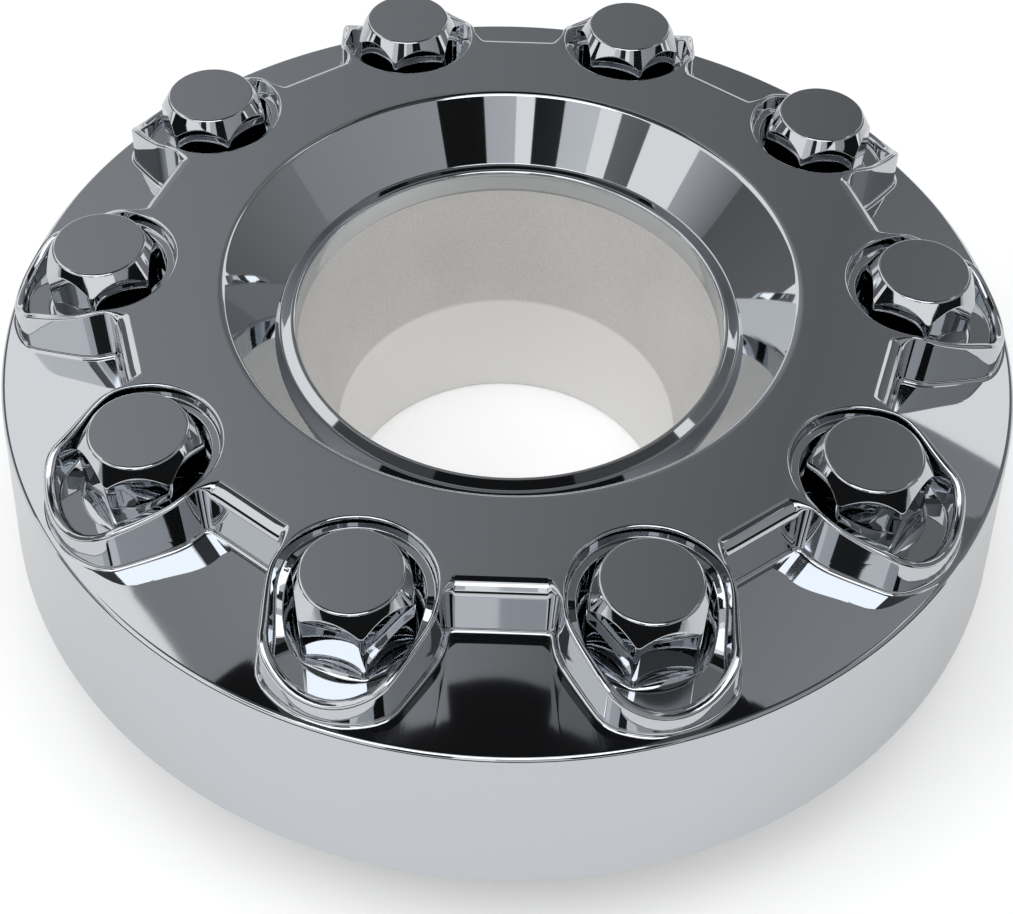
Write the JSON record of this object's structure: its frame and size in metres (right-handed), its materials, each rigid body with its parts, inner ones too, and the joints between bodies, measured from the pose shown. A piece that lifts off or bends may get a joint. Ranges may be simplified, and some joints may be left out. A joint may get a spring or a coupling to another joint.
{
  "type": "axle hub cover",
  "caption": "Round chrome-plated wheel hub cover with an open funnel-shaped centre, a short collar behind and hexagonal nut covers in egg-shaped pockets.",
  "frame": {"origin": "on the wheel's axis, at the foot of the collar, which the cover stands on", "axes": "+Z along the wheel's axis towards the side seen on the wheel; +X through the first nut cover"},
  "size_m": [0.2932, 0.2932, 0.1055],
  "materials": {
    "plating": "mirror-bright plating, satin and unplated inside the cone and collar"
  },
  "bodies": {
    "root": {"hub_cover": "plating"}
  },
  "joints": []
}
